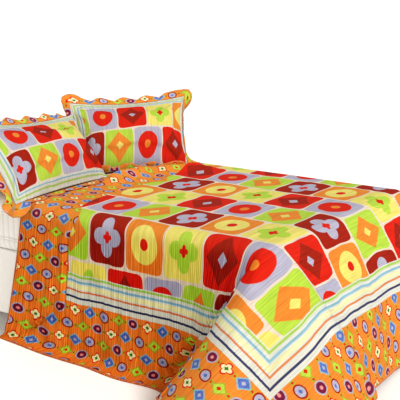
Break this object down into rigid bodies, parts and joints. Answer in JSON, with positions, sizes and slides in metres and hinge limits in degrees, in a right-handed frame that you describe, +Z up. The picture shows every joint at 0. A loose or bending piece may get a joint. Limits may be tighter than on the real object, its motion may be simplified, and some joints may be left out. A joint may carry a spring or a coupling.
{
  "type": "quilt set on a bed",
  "caption": "Channel-quilted bedspread hanging to the floor over a plain bed, with filled pillow shams that have scalloped flanges, leaning on plain pillows.",
  "frame": {"origin": "middle of the box's floor face: on the floor, below the middle of everything built", "axes": "+Z up, +Y towards the head of the bed, -X towards the near long side"},
  "size_m": [2.181, 2.5176, 1.0224],
  "materials": {
    "quilted_print": "matt quilted cotton, printed",
    "flange_print": "matt cotton, printed",
    "pillow_white": "matt white cotton",
    "mattress_ticking": "matt woven ticking",
    "base_cloth": "matt woven upholstery",
    "foot_wood": "satin"
  },
  "bodies": {
    "root": {"mattress": "mattress_ticking", "bed_base": "base_cloth", "bed_foot_1_1": "foot_wood", "bed_foot_1_2": "foot_wood", "bed_foot_2_1": "foot_wood", "bed_foot_2_2": "foot_wood", "bed_foot_3_1": "foot_wood", "bed_foot_3_2": "foot_wood", "quilt": "quilted_print", "sham_near": "quilted_print", "sham_far": "quilted_print", "flange_near": "flange_print", "flange_far": "flange_print", "pillow_near_lower": "pillow_white", "pillow_near_upper": "pillow_white", "pillow_far_lower": "pillow_white", "pillow_far_upper": "pillow_white"}
  },
  "joints": []
}
